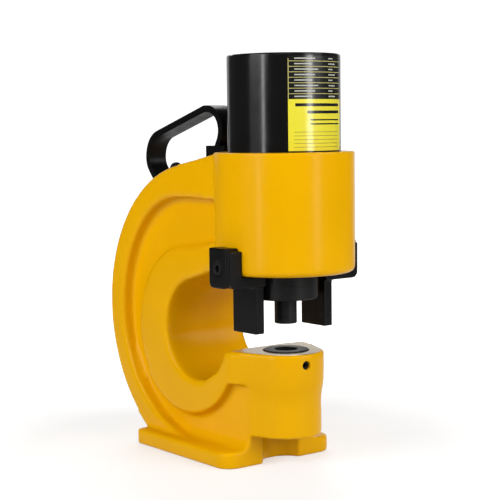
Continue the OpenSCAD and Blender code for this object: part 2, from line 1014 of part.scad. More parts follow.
module port_adapter() {
    color("#c8c8c4")
        at_port()
            difference() {
                union() {
                    translate([0, 0, face_r - port_depth + cut])
                        cylinder(d = port_d - 2 * running_gap, h = body_in - face_r + port_depth);
                    translate([0, 0, hex_in])
                        hexagon(hex_af, hex_l);
                    translate([0, 0, body_in])
                        cylinder(d = port_d - 2 * running_gap, h = nipple_l - ring_gap);
                }
                cylinder(d = oilway_d, h = body_out);
            }
}

module port_washer() {
    color("#b87333")
        at_port()
            translate([0, 0, face_r])
                ring(washer_d, port_d + 2 * thread_gap, washer_t);
}

module coupler_body() {
    color("#c2c2be")
        at_port()
            difference() {
                union() {
                    translate([0, 0, body_in])
                        cylinder(d = collar_d, h = collar_l);
                    translate([0, 0, body_in])
                        cylinder(d = coupler_d, h = coupler_l);
                }
                translate([0, 0, body_in - cut])
                    cylinder(d = port_d, h = nipple_l + cut);
                translate([0, 0, valve_in - cut])
                    cylinder(d = valve_d, h = seat_r - valve_in + cut);
                translate([0, 0, seat_r - cut])
                    cylinder(d = mouth_d, h = mouth_l + 2 * cut);
            }
}

module coupler_poppet() {
    color("#d0b060")
        at_port()
            union() {
                translate([0, 0, poppet_in])
                    cylinder(d = poppet_d, h = poppet_l);
                translate([0, 0, poppet_out - cut])
                    cylinder(d = mouth_d - 2 * ring_gap, h = mouth_l - ring_gap);
            }
}

module poppet_spring() {
    color("silver")
        at_port()
            translate([0, 0, valve_in])
                coil((poppet_d + oilway_d) / 2, poppet_wire, poppet_turns, poppet_in - valve_in - ring_gap);
}

module dust_cap() {
    color("#1a1a1a")
        at_port()
            difference() {
                translate([0, 0, cap_in])
                    cylinder(d = coupler_d + 2 * ring_gap + 2 * cap_wall, h = cap_grip + ring_gap + cap_end);
                translate([0, 0, cap_in - cut])
                    cylinder(d = coupler_d + 2 * ring_gap, h = cap_grip + ring_gap + cut);
            }
}

module rating_plate() {
    color("#d8cf2e")
        translate([punch_x, 0, head_top + label_rise])
            rotate([0, 0, -label_angle / 2])
                rotate_extrude(angle = label_angle)
                    translate([cyl_d / 2 + seat_gap, 0])
                        square([label_t, label_h]);
}

echo(str("return spring least gap ",
    coil_gap(coil_points(spring_mean_d, spring_wire, spring_turns, spring_h), spring_wire)));
echo(str("poppet spring least gap ",
    coil_gap(coil_points((poppet_d + oilway_d) / 2, poppet_wire, poppet_turns,
        poppet_in - valve_in - ring_gap), poppet_wire)));

c_frame();
cylinder_body();  // cylinder
guide_bush();
rod_wiper();
return_spring();
ram();
piston_seal();
backup_ring();
wear_ring();
punch();
punch_nut();
die();
die_set_screw();
stripper_left();
stripper_right();
stripper_screws();
handle();
handle_screws();
plug_screw();
port_adapter();
port_washer();
coupler_body();
coupler_poppet();
poppet_spring();
dust_cap();
rating_plate();
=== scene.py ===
"""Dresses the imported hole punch: cast C frame, turned and bent pieces, ruled plate, paint, studio light."""
import json
from math import cos, hypot, pi, radians, sin

import bmesh
import bpy
from mathutils import Matrix, Vector

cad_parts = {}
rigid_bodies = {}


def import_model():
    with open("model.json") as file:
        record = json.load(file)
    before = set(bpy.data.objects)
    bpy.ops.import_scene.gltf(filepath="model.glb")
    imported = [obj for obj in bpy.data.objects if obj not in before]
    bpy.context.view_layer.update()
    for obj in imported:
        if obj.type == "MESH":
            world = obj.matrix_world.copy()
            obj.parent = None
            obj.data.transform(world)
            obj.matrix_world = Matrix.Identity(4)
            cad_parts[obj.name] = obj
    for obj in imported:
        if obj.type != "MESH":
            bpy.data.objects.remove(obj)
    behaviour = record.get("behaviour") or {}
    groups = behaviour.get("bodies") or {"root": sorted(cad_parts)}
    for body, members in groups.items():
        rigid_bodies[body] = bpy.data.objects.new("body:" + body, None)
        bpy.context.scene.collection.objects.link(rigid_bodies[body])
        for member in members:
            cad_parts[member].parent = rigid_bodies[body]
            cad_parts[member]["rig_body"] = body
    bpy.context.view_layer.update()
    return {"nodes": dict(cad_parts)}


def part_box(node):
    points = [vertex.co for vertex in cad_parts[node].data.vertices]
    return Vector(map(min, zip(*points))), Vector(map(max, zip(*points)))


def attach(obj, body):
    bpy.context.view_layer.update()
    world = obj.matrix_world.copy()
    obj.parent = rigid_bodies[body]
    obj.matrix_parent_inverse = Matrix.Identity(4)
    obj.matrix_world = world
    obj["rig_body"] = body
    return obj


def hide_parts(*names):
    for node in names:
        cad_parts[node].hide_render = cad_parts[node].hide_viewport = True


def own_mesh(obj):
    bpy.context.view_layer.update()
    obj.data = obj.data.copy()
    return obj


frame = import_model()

nodes = frame["nodes"]
MM = 0.001
UP = Vector((0, 0, 1))

# Camera, solved from the photograph's round and straight edges
CAMERA_AT = (1.0401, -0.7786, 0.3081)
CAMERA_TURN = (84.818, 0.644, 52.331)
CAMERA_LENS = 98.48
CAMERA_SENSOR = 36
CAMERA_NEAR = 0.01

# Studio; a glow runs from one distance to another, in metres, and from one strength to another
WORLD_LEVEL = 0.08
WHITE_LEVEL = 1.1
FLOOR_REACH = 20
FLOOR_DROP = 0.2 * MM
FLOOR_TONE = 0.54
FLOOR_ROUGH = 0.6
FLOOR_SHINE = 0.15
SEEN_GLOW = (0.2, 0.6, 0.54, WHITE_LEVEL)
MIRRORED_GLOW = (0.5, 0.9, 0.5, 0)

# Softboxes: name, turn round the punch in degrees, distance, height, width, length and power
SOFTBOXES = (
    ("key_left", -90, 1.5, 0.85, 1.1, 0.8, 15.5),
    ("key_right", 24, 1.5, 0.9, 1.1, 0.8, 16.5),
    ("fill_front", -38, 1.6, 1.25, 1.2, 0.8, 5.2),
    ("strip_left", -80, 1.6, 0.25, 0.12, 0.7, 3.1),
    ("sheen_left", -96, 1.6, 0.25, 0.8, 0.7, 1.1),
    ("strip_right", 13.5, 1.5, 0.25, 0.3, 0.6, 3.2),
    ("card_behind", 141, 1.6, 0.45, 2.4, 0.9, 4),
    ("back_high", 150, 1.5, 1.3, 1.0, 0.8, 9),
)

# Procedural textures
NOISE_DETAIL = 4
NOISE_LOW = 0.3
NOISE_HIGH = 0.7
ROUGH_FINER = 3

# Meshes; angles are in degrees
WELD = 0.002 * MM
ON_AXIS = 1e-9
FLAT_ANGLE = 1
HARD_ANGLE = 40
TURNED_ANGLE = 35
CAST_ANGLE = 50
FACE_WEIGHT = 100
SMOOTHING_STEP = 0.5
TURN_STEPS = 160
PLUG_STEPS = 96
SCREW_STEPS = 48
SPANNER_STEPS = 32
EASE_HOLD = 1.4

# Casting
BASE_T = 15 * MM
VOXEL = 1.4 * MM
CAST_SMOOTHING = 14
HEAD_RIM = 6 * MM
HEAD_RIM_SHARE = 0.1
WEB_SMOOTHING = 40
BLEND_SMOOTHING = 110
WEB_HALF = 34 * MM
WEB_MARGIN = 12 * MM
CORNER_FRONT = 15 * MM
CORNER_HALF = 28 * MM
CORNER_DEEP = 25 * MM
RING_BACK = 96.2 * MM
RING_RISE = 11.4 * MM
RING_R = 79.4 * MM
RING_BLEND = 16 * MM
NECK_FROM = 54 * MM
NECK_TO = 18 * MM
NECK_FRONT = 12 * MM
ANVIL_R = 34.6 * MM
ANVIL_BACK = 60 * MM
MACHINED_SKIN = 0.25 * MM
MACHINED_LEVEL = 0.9

# Bores of the casting, and the plugs that close them while it is smoothed
PLUG_LAP = 2.5 * MM
PLUG_SAG = 0.4 * MM
BORE_GAP = 0.15 * MM
OVERRUN = 4 * MM
SLUG_R = 14 * MM
CHUTE_TOP = 28 * MM
SCREW_WAY_R = 4.1 * MM
SCREW_WAY = 36 * MM

# Brackets
BRACKET_VOXEL = 0.8 * MM
BRACKET_SMOOTHING = 9

# Cylinder
CYLINDER_RIM = 1.2 * MM
CYLINDER_EASE = 0.3 * MM
SEAL_GAP = 0.05 * MM
BORE_HEADROOM = 2 * MM
SPOT_R = 15.5 * MM
SPOT_DEEP = 1 * MM

# Punch, ring nut and die
PIP_R = 1.2 * MM
PIP_H = 1.2 * MM
PUNCH_R = 10.25 * MM
PUNCH_FLANGE = 5.9 * MM
PUNCH_EASE = 0.35 * MM
NUT_GAP = 0.3 * MM
NUT_THREAD_R = 23.05 * MM
NUT_LIP = 5 * MM
NUT_EASE = 1 * MM
SPANNER_R = 2.5 * MM
SPANNER_DEEP = 5 * MM
DIE_PROUD = 1 * MM
DIE_HOLE_R = 10.65 * MM
DIE_RELIEF = 1.5 * MM
DIE_LAND = 8 * MM
DIE_EDGE = 1 * MM
DIE_EASE = 0.3 * MM

# Rating plate; starts and ends are shares of its half angle, which is in degrees
PLATE_HALF_ANGLE = 35
PLATE_STAND = 0.3 * MM
PRINT_LIFT = 0.03 * MM
FILM_T = 0.2 * MM
PATCH_ANGLE = 2
TABLE_SHARE = 0.455
TABLE_ROWS = 8
LINE_WIDTH = 0.55 * MM
RULE_END = 0.94
UPRIGHT_END = 0.98
BAR_HEIGHT = 1.0 * MM
LABEL_START = 0.82
LABEL_END = 0.3
LABEL_STEP = 0.1
LABEL_LENGTHS = 3
VALUE_START = 0.3
VALUE_END = 0.62
VALUE_STEP = 0.12
VALUE_LENGTHS = 2
TITLE_END = 0.86
SMALL_ROWS = 5
SMALL_PITCH = 0.7
SMALL_START = 0.84
SMALL_END = 0.8

# Title bars of the plate: share of the way down its yellow field, start, height
TITLE_ROWS = ((0.11, 0.8, 2.6 * MM), (0.25, 0.45, 2.6 * MM), (0.4, 0.36, 1.2 * MM), (0.48, 0.36, 1.2 * MM))


def middle(node):
    low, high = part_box(node)
    return (low + high) / 2


def size(node):
    low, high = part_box(node)
    return high - low


# Sizes and places that the pieces share, read from the frame
axis = Vector((middle("cylinder").x, middle("cylinder").y, 0))
cyl_r = size("cylinder").x / 2
cyl_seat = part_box("cylinder")[0].z
cyl_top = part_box("cylinder")[1].z
head_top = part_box("c_frame")[1].z
head_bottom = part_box("rod_wiper")[0].z
bush_r = size("guide_bush").x / 2
die_r = size("die").x / 2
die_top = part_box("die")[1].z
die_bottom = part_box("die")[0].z
anvil_top = die_top - DIE_PROUD
port_at = Vector((axis.x, axis.y, middle("dust_cap").z))
port_out = (middle("dust_cap") - port_at).normalized()
screw_axis = Vector((axis.x, axis.y, middle("die_set_screw").z))
screw_out = (middle("die_set_screw") - screw_axis).normalized()


# Materials

def new_material(name):
    material = bpy.data.materials.new(name)
    material.use_nodes = True
    tree = material.node_tree
    return material, tree, tree.nodes["Principled BSDF"]


def noise(tree, scale, stretch):
    """A noise texture in the piece's own coordinates, finer along an axis where stretch is larger."""
    coords = tree.nodes.new("ShaderNodeTexCoord")
    mapping = tree.nodes.new("ShaderNodeMapping")
    mapping.inputs["Scale"].default_value = stretch
    texture = tree.nodes.new("ShaderNodeTexNoise")
    texture.inputs["Scale"].default_value = scale
    texture.inputs["Detail"].default_value = NOISE_DETAIL
    tree.links.new(coords.outputs["Object"], mapping.inputs["Vector"])
    tree.links.new(mapping.outputs["Vector"], texture.inputs["Vector"])
    return texture.outputs["Fac"]


def map_range(tree, value, near, far, least, most):
    """Maps a value that runs from near to far onto one that runs from least to most."""
    spread = tree.nodes.new("ShaderNodeMapRange")
    spread.inputs["From Min"].default_value = near
    spread.inputs["From Max"].default_value = far
    spread.inputs["To Min"].default_value = least
    spread.inputs["To Max"].default_value = most
    tree.links.new(value, spread.inputs["Value"])
    return spread.outputs["Result"]


def ramp(tree, value, low, high):
    """Spreads a noise value between two numbers."""
    return map_range(tree, value, NOISE_LOW, NOISE_HIGH, low, high)


def two_tone(tree, value, first, second):
    mix = tree.nodes.new("ShaderNodeMix")
    mix.data_type = "RGBA"
    mix.inputs["A"].default_value = (*first, 1)
    mix.inputs["B"].default_value = (*second, 1)
    tree.links.new(ramp(tree, value, 0, 1), mix.inputs["Factor"])
    return mix.outputs["Result"]


def bump(tree, shader, layers):
    """Stacks bump layers, each a noise value with its height in metres."""
    normal = None
    for value, height in layers:
        node = tree.nodes.new("ShaderNodeBump")
        node.inputs["Strength"].default_value = 1.0
        node.inputs["Distance"].default_value = height
        tree.links.new(value, node.inputs["Height"])
        if normal:
            tree.links.new(normal, node.inputs["Normal"])
        normal = node.outputs["Normal"]
    tree.links.new(normal, shader.inputs["Normal"])


def surface(name, first, second, metal, rough, grains, mottle=40, stretch=(1, 1, 1), shine=0.5):
    """A material of two close tones, a range of roughness, and bump grains of (scale, height in mm)."""
    material, tree, shader = new_material(name)
    shader.inputs["Metallic"].default_value = metal
    shader.inputs["Specular IOR Level"].default_value = shine
    tone = two_tone(tree, noise(tree, mottle, stretch), first, second)
    roughness = ramp(tree, noise(tree, ROUGH_FINER * mottle, stretch), *rough)
    tree.links.new(tone, shader.inputs["Base Color"])
    tree.links.new(roughness, shader.inputs["Roughness"])
    bump(tree, shader, [(noise(tree, scale, stretch), height * MM) for scale, height in grains])
    return material


# Gloss paint over a sand casting: slow waves of the casting under a fine orange peel
YELLOW = surface("yellow_paint", (0.80, 0.40, 0.0), (0.85, 0.43, 0.0), 0.0, (0.2, 0.27),
                 [(45, 0.5), (700, 0.02)], mottle=14, shine=0.09)
# Bare machined steel. Its warm tan tint is partly the steel's own colour and partly a painted reflection of
# the yellow paint around it.
MACHINED = surface("machined_face", (0.62, 0.52, 0.36), (0.66, 0.56, 0.40), 0.6, (0.2, 0.26),
                   [(500, 0.003)], mottle=120, stretch=(1, 6, 1))
BLACK_PAINT = surface("black_paint", (0.004, 0.004, 0.004), (0.0055, 0.0055, 0.0055), 0.0, (0.15, 0.19),
                      [(60, 0.03), (900, 0.004)], mottle=20, shine=0.38)
BLACK_CAST = surface("black_enamel", (0.0015, 0.0015, 0.0016), (0.003, 0.003, 0.0032), 0.0, (0.32, 0.46),
                     [(120, 0.12), (800, 0.02)], mottle=30, shine=0.15)
BLACK_OXIDE = surface("black_oxide", (0.005, 0.005, 0.0055), (0.010, 0.010, 0.011), 0.0, (0.36, 0.48),
                      [(500, 0.01)], mottle=80, stretch=(1, 1, 6), shine=0.18)
GROUND = surface("ground_steel", (0.50, 0.50, 0.51), (0.62, 0.62, 0.63), 1.0, (0.12, 0.22),
                 [(600, 0.004)], mottle=80, stretch=(1, 1, 8))
SPRING = surface("spring_wire", (0.16, 0.16, 0.17), (0.24, 0.24, 0.25), 1.0, (0.3, 0.42), [(500, 0.01)])
BRONZE = surface("bronze", (0.50, 0.30, 0.11), (0.60, 0.37, 0.14), 1.0, (0.25, 0.38),
                 [(500, 0.006)], stretch=(1, 1, 8))
RUBBER = surface("rubber", (0.012, 0.012, 0.012), (0.02, 0.02, 0.02), 0.0, (0.6, 0.75), [(900, 0.03)])
NYLON = surface("nylon", (0.60, 0.56, 0.46), (0.68, 0.64, 0.55), 0.0, (0.45, 0.6), [(500, 0.01)])
ZINC = surface("zinc_plate", (0.50, 0.50, 0.47), (0.62, 0.61, 0.57), 1.0, (0.24, 0.38),
               [(350, 0.008)], mottle=90)
COPPER = surface("copper", (0.52, 0.22, 0.12), (0.62, 0.28, 0.16), 1.0, (0.28, 0.4), [(400, 0.008)])
FILM_YELLOW = surface("film_yellow", (0.80, 0.71, 0.04), (0.86, 0.77, 0.05), 0.0, (0.17, 0.22),
                      [(300, 0.004)], shine=0.9)
FILM_BLACK = surface("film_black", (0.005, 0.005, 0.005), (0.008, 0.008, 0.008), 0.0, (0.17, 0.22),
                     [(300, 0.004)], shine=0.9)
FILM_RULE = surface("film_rule", (0.50, 0.46, 0.14), (0.56, 0.52, 0.18), 0.0, (0.3, 0.4), [(300, 0.006)])
FILM_PALE = surface("film_pale", (0.46, 0.46, 0.42), (0.54, 0.54, 0.50), 0.0, (0.3, 0.4), [(300, 0.006)])
FILM_OLIVE = surface("film_olive", (0.30, 0.26, 0.02), (0.36, 0.31, 0.03), 0.0, (0.3, 0.4), [(300, 0.006)])

# The plate's films, and the place of each in its list of materials
FILMS = (FILM_YELLOW, FILM_BLACK, FILM_RULE, FILM_PALE, FILM_OLIVE)
YELLOW_INK, BLACK_INK, RULE_INK, PALE_INK, OLIVE_INK = range(len(FILMS))


# Mesh helpers

def add_object(name, mesh):
    piece = bpy.data.objects.new(name, mesh)
    bpy.context.scene.collection.objects.link(piece)
    return piece


def mesh_from(name, bm):
    bmesh.ops.recalc_face_normals(bm, faces=bm.faces)
    mesh = bpy.data.meshes.new(name)
    bm.to_mesh(mesh)
    bm.free()
    return mesh


def finish_with(mesh, *materials):
    """Gives a mesh new materials, with all its faces back on the first."""
    mesh.materials.clear()
    for material in materials:
        mesh.materials.append(material)


def smooth_by_angle(mesh, angle):
    mesh.shade_smooth()
    mesh.set_sharp_from_angle(angle=radians(angle))


def frozen(piece):
    """Turns a piece's modifiers into plain mesh."""
    bpy.context.view_layer.update()
    held = piece.evaluated_get(bpy.context.evaluated_depsgraph_get())
    mesh = bpy.data.meshes.new_from_object(held)
    old = piece.data
    piece.modifiers.clear()
    piece.data = mesh
    bpy.data.meshes.remove(old)


def turn_matrix(at, along):
    return Matrix.Translation(at) @ along.to_track_quat("Z", "Y").to_matrix().to_4x4()


def rod(radius, low, high):
    """Outline of a plain rod, as (radius, height) points."""
    return [(0, low), (radius, low), (radius, high), (0, high)]


def stepped_rod(narrow, low, step, wide, high):
    """Outline of a rod that is wider above a step."""
    return [(0, low), (narrow, low), (narrow, step), (wide, step), (wide, high), (0, high)]


def eased(outline, ease):
    """Cuts each corner of a closed outline by a small flat, held by a ring on each side."""
    points = []
    count = len(outline)
    for i, here in enumerate(outline):
        here = Vector(here)
        before = Vector(outline[i - 1]) - here
        after = Vector(outline[(i + 1) % count]) - here
        cut = min(ease, before.length / 3, after.length / 3)
        if here.x < ON_AXIS:
            points.append(here)
            continue
        for side, share in ((before, EASE_HOLD), (before, 1), (after, 1), (after, EASE_HOLD)):
            points.append(here + side.normalized() * cut * share)
    return points


def ring(bm, radius, height, steps):
    """Vertices round the axis at a height, or one vertex on the axis."""
    if radius < ON_AXIS:
        return [bm.verts.new((0, 0, height))]
    turns = [2 * pi * k / steps for k in range(steps)]
    return [bm.verts.new((radius * cos(turn), radius * sin(turn), height)) for turn in turns]


def turned_mesh(name, outline, at, along, steps=TURN_STEPS):
    """Spins a closed outline of (radius, height) points round a line."""
    bm = bmesh.new()
    rings = [ring(bm, radius, height, steps) for radius, height in outline]
    for i, first in enumerate(rings):
        second = rings[(i + 1) % len(rings)]
        if len(first) == 1 and len(second) == 1:
            continue
        for k in range(steps):
            n = (k + 1) % steps
            corners = [first[k % len(first)], first[n % len(first)]]
            corners += [second[n % len(second)], second[k % len(second)]]
            bm.faces.new(list(dict.fromkeys(corners)))
    bm.transform(turn_matrix(at, along))
    return mesh_from(name, bm)


def turned(name, outline, at, along, material, ease):
    """A turned piece with eased edges."""
    mesh = turned_mesh(name, eased(outline, ease), at, along)
    mesh.materials.append(material)
    smooth_by_angle(mesh, TURNED_ANGLE)
    return add_object(name, mesh)


def welded_copy(node):
    """A copy of a CAD node's mesh with its split corners joined again."""
    bm = bmesh.new()
    bm.from_mesh(nodes[node].data)
    bmesh.ops.remove_doubles(bm, verts=bm.verts, dist=WELD)
    return bm


def softened(name, node, material, width, segments):
    """A CAD node with its flat faces joined and its hard edges rounded."""
    bm = welded_copy(node)
    bmesh.ops.dissolve_limit(bm, angle_limit=radians(FLAT_ANGLE), verts=bm.verts, edges=bm.edges)
    piece = add_object(name, mesh_from(name, bm))
    rounding = piece.modifiers.new("rounding", "BEVEL")
    rounding.width = width
    rounding.segments = segments
    rounding.limit_method = "ANGLE"
    rounding.angle_limit = radians(HARD_ANGLE)
    evened = piece.modifiers.new("evened", "WEIGHTED_NORMAL")
    evened.weight = FACE_WEIGHT
    piece.data.shade_smooth()
    frozen(piece)
    finish_with(piece.data, material)
    return piece


def cut_out(piece, holes):
    """Cuts meshes out of a piece for good."""
    cutters = [add_object("hole", hole) for hole in holes]
    for cutter in cutters:
        cut = piece.modifiers.new("hole", "BOOLEAN")
        cut.operation = "DIFFERENCE"
        cut.solver = "EXACT"
        cut.object = cutter
    frozen(piece)
    for cutter in cutters:
        bpy.data.objects.remove(cutter)
    for hole in holes:
        bpy.data.meshes.remove(hole)


def stands_for(piece, node):
    """Puts a piece in the place of a CAD node, on the node's body."""
    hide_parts(node)
    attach(piece, nodes[node]["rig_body"])


# Casting

def casting():
    """The C frame remeshed and smoothed as a sand casting, with its bores cut sharp afterwards."""
    bm = welded_copy("c_frame")
    for plug in plugs():
        bm.from_mesh(plug)
        bpy.data.meshes.remove(plug)
    piece = remeshed("casting", bm, VOXEL)
    smoothed(piece, cast_share, CAST_SMOOTHING)
    smoothed(piece, web_share, WEB_SMOOTHING)
    smoothed(piece, blend_share, BLEND_SMOOTHING)
    cut_out(piece, bores())
    paint_casting(piece.data)
    stands_for(piece, "c_frame")


def remeshed(name, bm, voxel):
    """One even skin over a mesh and what overlaps it."""
    piece = add_object(name, mesh_from(name, bm))
    skin = piece.modifiers.new("skin", "REMESH")
    skin.mode = "VOXEL"
    skin.voxel_size = voxel
    frozen(piece)
    return piece


def plugs():
    """Solids that close the head's, the anvil's and the set screw's bores while the casting is smoothed."""
    head = stepped_rod(bush_r + PLUG_LAP, head_bottom, cyl_seat + OVERRUN, cyl_r + PLUG_LAP, head_top)
    anvil = stepped_rod(SLUG_R + PLUG_LAP, CHUTE_TOP, die_bottom + OVERRUN, die_r + PLUG_LAP, anvil_top)
    screw = rod(SCREW_WAY_R + PLUG_LAP, die_r, ANVIL_R - PLUG_SAG)
    upright = [turned_mesh("plug", outline, axis, UP, PLUG_STEPS) for outline in (head, anvil)]
    return upright + [turned_mesh("plug", screw, screw_axis, screw_out, SCREW_STEPS)]


def bores():
    """What is bored out of the casting: cylinder seat, rod way, die seat with slug way, set screw."""
    seat = rod(cyl_r + BORE_GAP, cyl_seat, head_top + OVERRUN)
    rod_way = rod(bush_r + BORE_GAP, head_bottom - OVERRUN, cyl_seat + OVERRUN)
    die_seat = stepped_rod(SLUG_R, CHUTE_TOP - OVERRUN, die_bottom, die_r + BORE_GAP, anvil_top + OVERRUN)
    screw_way = rod(SCREW_WAY_R, 0, SCREW_WAY)
    upright = [turned_mesh("hole", outline, axis, UP) for outline in (seat, rod_way, die_seat)]
    return upright + [turned_mesh("hole", screw_way, screw_axis, screw_out, SCREW_STEPS)]


def smoothed(piece, share, iterations):
    """Smooths a mesh, each vertex by the share that its place gives."""
    group = piece.vertex_groups.new(name="smoothing")
    for vertex in piece.data.vertices:
        group.add([vertex.index], share(vertex.co), "REPLACE")
    smoothing = piece.modifiers.new("smoothing", "SMOOTH")
    smoothing.factor = SMOOTHING_STEP
    smoothing.iterations = iterations
    smoothing.vertex_group = group.name
    frozen(piece)
    piece.vertex_groups.clear()


def cast_share(place):
    """The whole casting is smoothed, but the turned rim of the head stays crisp."""
    return HEAD_RIM_SHARE if place.z > head_top - HEAD_RIM else 1.0


def web_share(place):
    """The rim, the web and the ring run softly into each other, and the anvil's rear corners are round."""
    on_side = abs(place.y) > WEB_HALF and BASE_T + WEB_MARGIN < place.z < head_top - WEB_MARGIN
    in_web = on_side and place.x < axis.x - ANVIL_BACK
    behind_die = axis.x - ANVIL_BACK < place.x < axis.x - CORNER_FRONT
    at_corner = behind_die and abs(place.y) > CORNER_HALF and abs(place.z - anvil_top) < CORNER_DEEP
    return 1.0 if in_web or at_corner else 0.0


def blend_share(place):
    """The anvil's head runs into its neck, and the ring's outer flank into the web, without a step."""
    at_neck = NECK_TO < anvil_top - place.z < NECK_FROM and place.x > axis.x - NECK_FRONT
    across = place.x - axis.x + RING_BACK
    up = place.z - anvil_top - RING_RISE
    on_flank = abs(hypot(across, up) - RING_R) < RING_BLEND and abs(place.y) > WEB_HALF
    return 1.0 if at_neck or (on_flank and up > RING_BLEND + across) else 0.0


def evenly(place):
    return 1.0


def paint_casting(mesh):
    """Bare metal on the anvil's top and in the die's seat, paint everywhere else."""
    finish_with(mesh, YELLOW, MACHINED)
    for face in mesh.polygons:
        centre = face.center
        out = hypot(centre.x - axis.x, centre.y - axis.y)
        level = abs(centre.z - anvil_top) < MACHINED_SKIN and face.normal.z > MACHINED_LEVEL
        on_top = level and centre.x > axis.x - ANVIL_BACK
        in_seat = out < die_r + MACHINED_SKIN and CHUTE_TOP < centre.z < anvil_top
        face.material_index = 1 if on_top or in_seat else 0
    smooth_by_angle(mesh, CAST_ANGLE)


def brackets():
    """The strippers as castings with well rounded edges."""
    for node in ("stripper_left", "stripper_right"):
        piece = remeshed(node + "_bracket", welded_copy(node), BRACKET_VOXEL)
        smoothed(piece, evenly, BRACKET_SMOOTHING)
        finish_with(piece.data, BLACK_CAST)
        smooth_by_angle(piece.data, CAST_ANGLE)
        stands_for(piece, node)


# Cylinder and rating plate

def cylinder():
    """The ram cylinder, open below, with a flat spot where the inlet's washer seals."""
    bore_r = size("piston_seal").x / 2 + SEAL_GAP
    bore_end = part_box("ram")[1].z + BORE_HEADROOM
    outline = [(0, cyl_top), (cyl_r - CYLINDER_RIM, cyl_top), (cyl_r, cyl_top - CYLINDER_RIM),
               (cyl_r, cyl_seat), (bore_r, cyl_seat), (bore_r, bore_end), (0, bore_end)]
    piece = turned("ram_cylinder", outline, axis, UP, BLACK_PAINT, CYLINDER_EASE)
    spot_in = (middle("port_washer") - port_at).length - SPOT_DEEP
    spot = rod(SPOT_R, spot_in, 2 * cyl_r)
    cut_out(piece, [turned_mesh("hole", spot, port_at, port_out, PLUG_STEPS)])
    finish_with(piece.data, BLACK_PAINT)
    smooth_by_angle(piece.data, TURNED_ANGLE)
    stands_for(piece, "cylinder")


def curved_patch(bm, radius, first, last, low, high, ink):
    """Adds a patch of the cylinder's skin between two angles in degrees and two heights."""
    steps = max(1, round((last - first) / PATCH_ANGLE))
    rows = []
    for k in range(steps + 1):
        angle = radians(first + (last - first) * k / steps)
        x = axis.x + radius * cos(angle)
        y = axis.y + radius * sin(angle)
        rows.append([bm.verts.new((x, y, z)) for z in (low, high)])
    for a, b in zip(rows, rows[1:]):
        face = bm.faces.new((a[0], b[0], b[1], a[1]))
        face.material_index = ink
        face.smooth = True


def printed_bar(bm, start, end, z, height, ink):
    """Adds a bar of print at a height, between two shares of the plate's half angle."""
    radius = cyl_r + PLATE_STAND + PRINT_LIFT
    first = PLATE_HALF_ANGLE * start
    last = PLATE_HALF_ANGLE * end
    curved_patch(bm, radius, first, last, z - height / 2, z + height / 2, ink)


def table_print(bm, table_low, row_height):
    """Rules between the table's rows, one upright beside them, and two blank bars in each row."""
    for row in range(1, TABLE_ROWS):
        printed_bar(bm, -1, RULE_END, table_low + row * row_height, LINE_WIDTH, RULE_INK)
    upright_height = (TABLE_ROWS - 0.5) * row_height
    printed_bar(bm, -1, -UPRIGHT_END, table_low + upright_height / 2, upright_height, RULE_INK)
    for row in range(TABLE_ROWS):
        z = table_low + (row + 0.5) * row_height
        label_end = LABEL_END - LABEL_STEP * (row % LABEL_LENGTHS)
        value_end = VALUE_END - VALUE_STEP * (row % VALUE_LENGTHS)
        printed_bar(bm, -LABEL_START, -label_end, z, BAR_HEIGHT, PALE_INK)
        printed_bar(bm, VALUE_START, value_end, z, BAR_HEIGHT, PALE_INK)


def field_print(bm, low, table_low, row_height):
    """Blank bars for the title and the small print of the yellow field."""
    for down, start, height in TITLE_ROWS:
        printed_bar(bm, -start, TITLE_END, table_low - down * (table_low - low), height, BLACK_INK)
    for row in range(SMALL_ROWS):
        z = low + (row + 1) * SMALL_PITCH * row_height
        printed_bar(bm, -SMALL_START, SMALL_END, z, LINE_WIDTH, OLIVE_INK)


def rating_plate():
    """A yellow film with a ruled black table above it; blank bars stand where print would be."""
    low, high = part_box("rating_plate")
    edge = PLATE_HALF_ANGLE
    film_r = cyl_r + PLATE_STAND
    table_low = high.z - TABLE_SHARE * (high.z - low.z)
    row_height = (high.z - table_low) / TABLE_ROWS
    bm = bmesh.new()
    curved_patch(bm, film_r, -edge, edge, low.z, table_low, YELLOW_INK)
    curved_patch(bm, film_r, -edge, edge, table_low, high.z, BLACK_INK)
    table_print(bm, table_low, row_height)
    field_print(bm, low.z, table_low, row_height)
    mesh = bpy.data.meshes.new("rating_film")
    bm.to_mesh(mesh)
    bm.free()
    for film in FILMS:
        mesh.materials.append(film)
    piece = add_object("rating_film", mesh)
    backing = piece.modifiers.new("thickness", "SOLIDIFY")
    backing.thickness = FILM_T
    backing.offset = -1
    frozen(piece)
    smooth_by_angle(piece.data, TURNED_ANGLE)
    stands_for(piece, "rating_plate")


# Punch, ring nut and die

def punch_tool():
    """The punch with its centring pip below and its flange above."""
    low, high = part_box("punch")
    flange_r = size("punch").x / 2
    flange_low = high.z - PUNCH_FLANGE
    tip = low.z + PIP_H
    outline = [(0, low.z), (PIP_R, tip), (PUNCH_R, tip), (PUNCH_R, flange_low), (flange_r, flange_low),
               (flange_r, high.z), (0, high.z)]
    piece = turned("punch_tool", outline, axis, UP, BLACK_OXIDE, PUNCH_EASE)
    stands_for(piece, "punch")


def ring_nut():
    """The nut below the ram: a lip under the punch's flange, and a spanner hole on the far side."""
    low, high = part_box("punch_nut")
    hole_r = PUNCH_R + NUT_GAP
    lip = low.z + NUT_LIP
    nut_r = size("punch_nut").x / 2
    outline = [(hole_r, low.z), (nut_r, low.z), (nut_r, high.z), (NUT_THREAD_R, high.z),
               (NUT_THREAD_R, lip), (hole_r, lip)]
    piece = turned("ring_nut", outline, axis, UP, BLACK_OXIDE, NUT_EASE)
    spanner_at = Vector((axis.x, axis.y, (low.z + high.z) / 2))
    spanner = rod(SPANNER_R, nut_r - SPANNER_DEEP, 2 * nut_r)
    cut_out(piece, [turned_mesh("hole", spanner, spanner_at, port_out, SPANNER_STEPS)])
    smooth_by_angle(piece.data, TURNED_ANGLE)
    stands_for(piece, "punch_nut")


